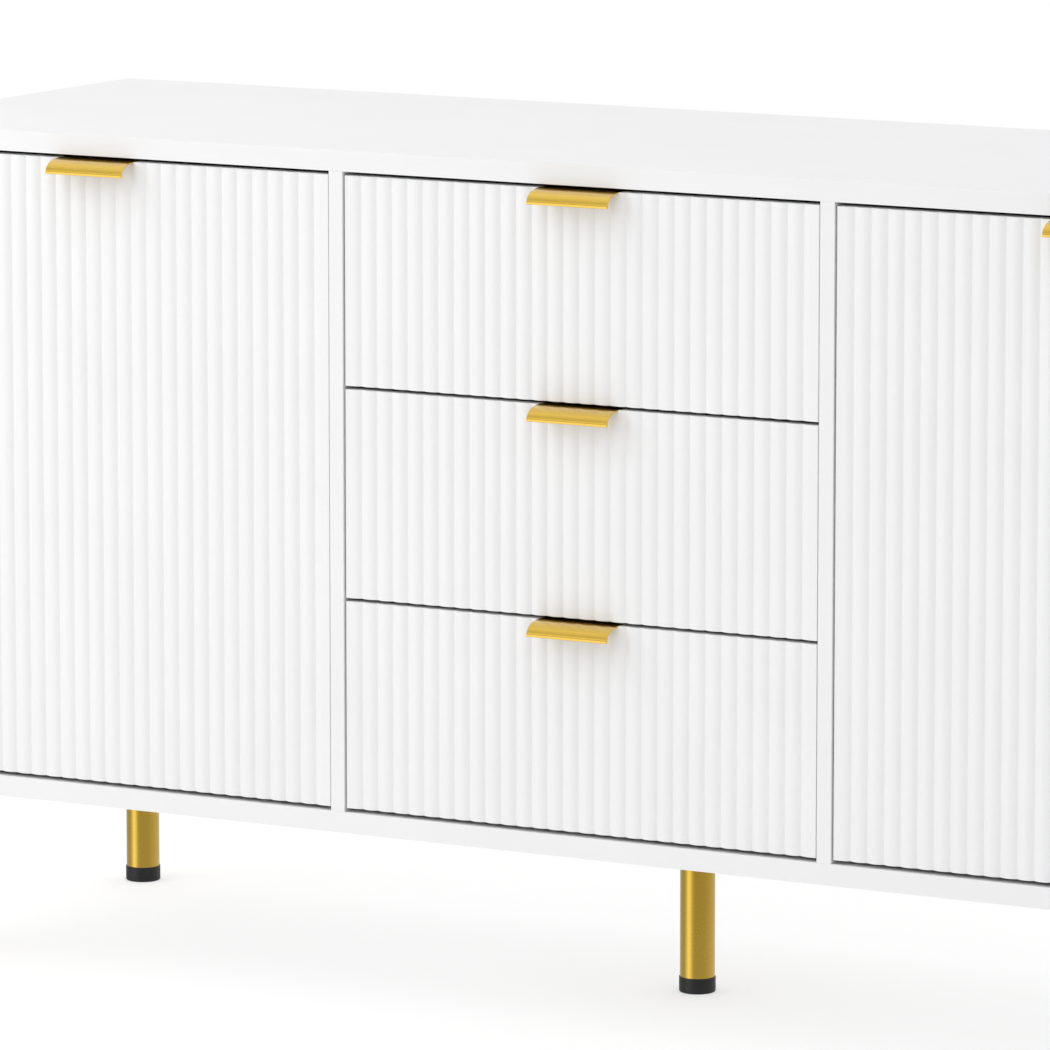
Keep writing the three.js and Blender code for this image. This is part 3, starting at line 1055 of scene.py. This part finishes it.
def pivot_mesh(centre):
    """An upright pivot pin with eased ends."""
    low, high = centre.z - PIVOT_HALF_LENGTH, centre.z + PIVOT_HALF_LENGTH
    tip = PIVOT_RADIUS - PIVOT_EDGE
    profile = [
        (0, low), (tip, low), (PIVOT_RADIUS, low + PIVOT_EDGE),
        (PIVOT_RADIUS, high - PIVOT_EDGE), (tip, high), (0, high),
    ]
    return lathe_mesh("pivot", profile, centre, 20)


def add_hinge_arm(node, side):
    """Winged mounting plate, channel arm and cranked neck."""
    low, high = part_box(node)
    panel = high.x if side > 0 else low.x
    middle = (low.z + high.z) / 2
    length = high.y - low.y
    plate_end = length - HINGE_PLATE_END_GAP
    plate_start = plate_end - HINGE_PLATE_LENGTH

    def at(inward, rearward, up):
        return Vector((panel - side * inward, low.y + rearward, middle + up))

    parts = [
        hinge_plate_mesh(panel, side, low.y, middle, plate_start, plate_end, (high.z - low.z) / 2),
        rounded_box_mesh(
            at(ARM_SEAT, ARM_START, -ARM_HALF_HEIGHT), at(ARM_TOP, length, ARM_HALF_HEIGHT), ARM_EDGE, 4
        ),
        rounded_box_mesh(
            at(NECK_SEAT, 0, -NECK_HALF_HEIGHT), at(NECK_TOP, NECK_LENGTH, NECK_HALF_HEIGHT), NECK_EDGE, 4
        ),
        *(pivot_mesh(at(inward, rearward, 0)) for inward, rearward in PIVOT_PLACES),
    ]
    slot_cut = rounded_box_mesh(at(*SLOT_LOW), at(*SLOT_HIGH), SLOT_CORNER, 2)
    replace_node(node, carved(joined(parts), [slot_cut]))
    inward = (-side, 0, 0)
    wing_middle = plate_start + (HINGE_WING_START + HINGE_WING_END) / 2
    screws = [
        facing(at(HINGE_PLATE_THICKNESS, wing_middle, reach), inward, 0.5 + reach / MM)
        for reach in (-HINGE_SCREW_REACH, HINGE_SCREW_REACH)
    ]
    screws += [facing(at(ARM_TOP, place, 0), inward, place / MM) for place in ARM_SCREW_PLACES]
    add_screws(f"{node}_screws", screws, HINGE_SCREW, "hinge_steel", BODY_OF[node])


def cup_mesh():
    """A pressed dish with an eared rim, opening upwards, its rim's underside at z = 0."""
    radius = CUP_RADIUS - CUP_SIDE_PLAY
    bottom = CUP_FLOOR_PLAY - CUP_DEPTH
    dish = lathe_mesh("dish", [
        (0, bottom), (radius - CUP_BEND_START, bottom),
        *arc((radius - CUP_BEND, bottom + CUP_BEND), CUP_BEND, 285, 360, 4),
        (radius, SURFACE_LIFT), (CUP_RIM_RADIUS, SURFACE_LIFT), (CUP_RIM_RADIUS, 0.7 * CUP_PLATE),
        (CUP_RIM_RADIUS - CUP_EDGE, CUP_PLATE), (0, CUP_PLATE),
    ], (0, 0))
    ears = rounded_box_mesh(
        (-CUP_EAR_HALF_WIDTH, -CUP_EAR_REACH, SURFACE_LIFT),
        (CUP_EAR_HALF_WIDTH, CUP_EAR_REACH, CUP_PLATE),
        CUP_EDGE,
        2,
    )
    inside = radius - CUP_WALL
    inside_bottom = bottom + CUP_WALL
    hollow = lathe_mesh("hollow", [
        (0, inside_bottom), (inside - CUP_HOLLOW_BEND, inside_bottom),
        (inside, inside_bottom + CUP_HOLLOW_BEND), (inside, CUP_HOLLOW_TOP), (0, CUP_HOLLOW_TOP),
    ], (0, 0))
    return carved(joined([dish, ears]), [hollow])


def add_hinge_cup(name, level, side):
    """The pressed dish in the door, its eared rim and its two screws."""
    centre = cup_centre(side, f"{name}_{level}_hinge_arm", f"{name}_door_panel")
    cup = cup_mesh()
    cup.transform(Matrix.Translation(centre) @ Matrix.Rotation(-math.pi / 2, 4, "X"))
    body = f"{name}_door"
    stem = f"{name}_{level}_hinge"
    add_piece(f"{stem}_cup", cup, "hinge_steel", body)
    screws = [
        facing(centre + Vector((0, CUP_PLATE, reach)), (0, 1, 0), 40 * reach)
        for reach in (-CUP_SCREW_REACH, CUP_SCREW_REACH)
    ]
    add_screws(f"{stem}_cup_screws", screws, CUP_SCREW, "hinge_steel", body)


def link_mesh(x, thickness, rear, front, middle):
    """A flat bar from rear to front, thickness wide along X, cut into short lengths."""
    corners = [(x, -1), (x + thickness, -1), (x + thickness, 1), (x, 1)]
    bm = bmesh.new()
    rows = []
    for step in range(LINK_STEPS + 1):
        y = rear + (front - rear) * step / LINK_STEPS
        rows.append([
            bm.verts.new((corner_x, y, middle + up * LINK_HALF_WIDTH))
            for corner_x, up in corners
        ])
    for near, far in zip(rows, rows[1:]):
        for corner in range(4):
            following = (corner + 1) % 4
            bm.faces.new([near[corner], near[following], far[following], far[corner]])
    bm.faces.new(rows[0][::-1])
    bm.faces.new(rows[-1])
    bmesh.ops.recalc_face_normals(bm, faces=bm.faces)
    long_edges = [
        edge for edge in bm.edges
        if abs(edge.verts[0].co.y - edge.verts[1].co.y) > LINK_EDGE and edge.calc_face_angle(0) > 1
    ]
    bevel_edges(bm, long_edges, LINK_EDGE, 2)
    return to_mesh(bm, "link")


def add_hinge_links(name, level, side):
    """Two steel links from the arm's neck into the cup; they are on no body and don't move with the door.
    """
    arm_low, arm_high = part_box(f"{name}_{level}_hinge_arm")
    panel = arm_high.x if side > 0 else arm_low.x
    middle = (arm_low.z + arm_high.z) / 2
    rear = arm_low.y + LINK_REAR
    front = arm_low.y - LINK_FRONT
    for label, (inward, thickness) in LINKS.items():
        x = panel - side * inward
        mesh = link_mesh(x, -side * thickness, rear, front, middle)
        link = link_object(f"{name}_{level}_hinge_{label}_link", mesh)
        link.data.materials.append(MATERIALS["hinge_steel"])
        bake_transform(link)


def add_hinges(name, side):
    for level in ("lower", "upper"):
        add_hinge_arm(f"{name}_{level}_hinge_arm", side)
        add_hinge_cup(name, level, side)
        add_hinge_links(name, level, side)


# Shelf pins and cams
def add_shelf_pins(name):
    """Four collared pins under a shelf, in the boards at its sides."""
    low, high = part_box(f"{name}_shelf")
    profile = [
        (0, SURFACE_LIFT), (PIN_COLLAR, SURFACE_LIFT), (PIN_COLLAR, PIN_COLLAR_EDGE),
        (PIN_RADIUS, PIN_COLLAR_THICKNESS),
        *arc((PIN_RADIUS - PIN_TIP, PIN_REACH - PIN_TIP), PIN_TIP, 0, 90, 3), (0, PIN_REACH),
    ]
    bm = bmesh.new()
    for wall, inward in ((low.x - SHELF_SIDE_PLAY, 1), (high.x + SHELF_SIDE_PLAY, -1)):
        for y in (low.y + PIN_INSET, high.y - PIN_INSET):
            part = lathe_mesh("pin", profile, (0, 0), PIN_STEPS)
            turn = Matrix.Rotation(inward * math.pi / 2, 4, "Y")
            part.transform(Matrix.Translation((wall, y, low.z - PIN_RADIUS)) @ turn)
            bm.from_mesh(part)
            bpy.data.meshes.remove(part)
    add_piece(f"{name}_shelf_pins", to_mesh(bm, "pins"), "slide_steel", "cabinet")


def add_cams(name, side):
    """Cam fittings let into a side panel's inner face, near its ends."""
    low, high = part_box(f"{name}_side_panel")
    face = low.x if side > 0 else high.x
    places = [
        facing(Vector((face, low.y + share * (high.y - low.y), z)), (-side, 0, 0), 2 * share)
        for share in CAM_SHARES
        for z in (low.z + CAM_INSET, high.z - CAM_INSET)
    ]
    add_screws(f"{name}_side_cams", places, CAM_HEAD, "slide_steel", "cabinet")


add_carcass()
for side_name, side_sign in (("left", -1), ("right", 1)):
    add_door_panel(side_name, side_sign)
    add_pull(f"{side_name}_door_handle", f"{side_name}_door_panel")
    add_hinges(side_name, side_sign)
    add_shelf_pins(side_name)
    add_cams(side_name, side_sign)
for drawer_level in ("upper", "middle", "lower"):
    add_drawer_front(drawer_level)
    add_pull(f"{drawer_level}_drawer_handle", f"{drawer_level}_drawer_front")
    add_drawer_box(drawer_level)
    add_slides(drawer_level)
for leg_name in ("front_left", "front_right", "rear_left", "rear_right", "centre"):
    add_leg(leg_name)


# Studio
def add_camera():
    camera = bpy.data.objects.new("camera", bpy.data.cameras.new("camera"))
    bpy.context.scene.collection.objects.link(camera)
    camera.location = CAMERA_PLACE
    camera.rotation_euler = (math.pi / 2 + CAMERA_PITCH, 0.0, CAMERA_YAW)
    camera.data.lens = CAMERA_LENS
    camera.data.sensor_width = SENSOR_WIDTH
    camera.data.clip_end = CAMERA_REACH
    bpy.context.scene.camera = camera


def add_floor():
    bm = bmesh.new()
    bmesh.ops.create_grid(bm, x_segments=4, y_segments=4, size=FLOOR_HALF_SIZE)
    mesh = bpy.data.meshes.new("floor")
    bm.to_mesh(mesh)
    bm.free()
    floor = link_object("floor", mesh)
    floor.location.z = cad_low.z
    floor.visible_glossy = False
    material, tree, shader = material_nodes("studio_floor")
    tone = ranged(tree, noise(tree, scale=0.6, detail=2), 0.0, 1.0)
    tree.links.new(mixed(tree, tone, FLOOR_DARK, FLOOR_LIGHT), shader.inputs["Base Color"])
    shader.inputs["Roughness"].default_value = 0.9
    shader.inputs["Emission Color"].default_value = (1.0, 1.0, 1.0, 1.0)
    shader.inputs["Emission Strength"].default_value = FLOOR_GLOW
    mesh.materials.append(material)


def add_softbox(name, target, azimuth, elevation, distance, size, radiance):
    """A square softbox facing target, from azimuth degrees left of the front and above it."""
    level = math.cos(math.radians(elevation))
    away = Vector((
        -level * math.sin(math.radians(azimuth)),
        -level * math.cos(math.radians(azimuth)),
        math.sin(math.radians(elevation)),
    ))
    data = bpy.data.lights.new(name, "AREA")
    data.shape = "SQUARE"
    data.size = size
    data.energy = radiance * math.pi * size * size
    light = bpy.data.objects.new(name, data)
    bpy.context.scene.collection.objects.link(light)
    light.location = Vector(target) + distance * away
    light.rotation_euler = away.to_track_quat("Z", "Y").to_euler()
    light.visible_camera = False
    light.visible_glossy = False


def add_world():
    """Soft light that grows towards the zenith, with a bright card standing at the left front."""
    world = bpy.data.worlds.new("studio")
    bpy.context.scene.world = world
    world.use_nodes = True
    tree = world.node_tree
    direction = add_node(tree, "ShaderNodeTexCoord").outputs["Generated"]

    def along(axis):
        node = add_node(tree, "ShaderNodeVectorMath", {0: direction, 1: axis}, operation="DOT_PRODUCT")
        return node.outputs["Value"]

    def maths(operation, first, second):
        node = add_node(tree, "ShaderNodeMath", {0: first, 1: second}, operation=operation)
        return node.outputs["Value"]

    sky = maths("MAXIMUM", maths("ADD", along(SKY_SLOPE), SKY_HORIZON), SKY_LOWEST)
    lobe = maths("POWER", maths("MAXIMUM", along(CARD_DIRECTION), 0.0), CARD_SHARPNESS)
    strength = maths("ADD", sky, maths("MULTIPLY", lobe, CARD_STRENGTH))
    tree.links.new(strength, tree.nodes["Background"].inputs["Strength"])
    tree.nodes["Background"].inputs["Color"].default_value = (1.0, 1.0, 1.0, 1.0)


add_camera()
add_floor()
add_world()
add_softbox("key", **KEY)
bpy.context.scene.cycles.diffuse_bounces = DIFFUSE_BOUNCES
bpy.context.scene.view_settings.view_transform = "Standard"
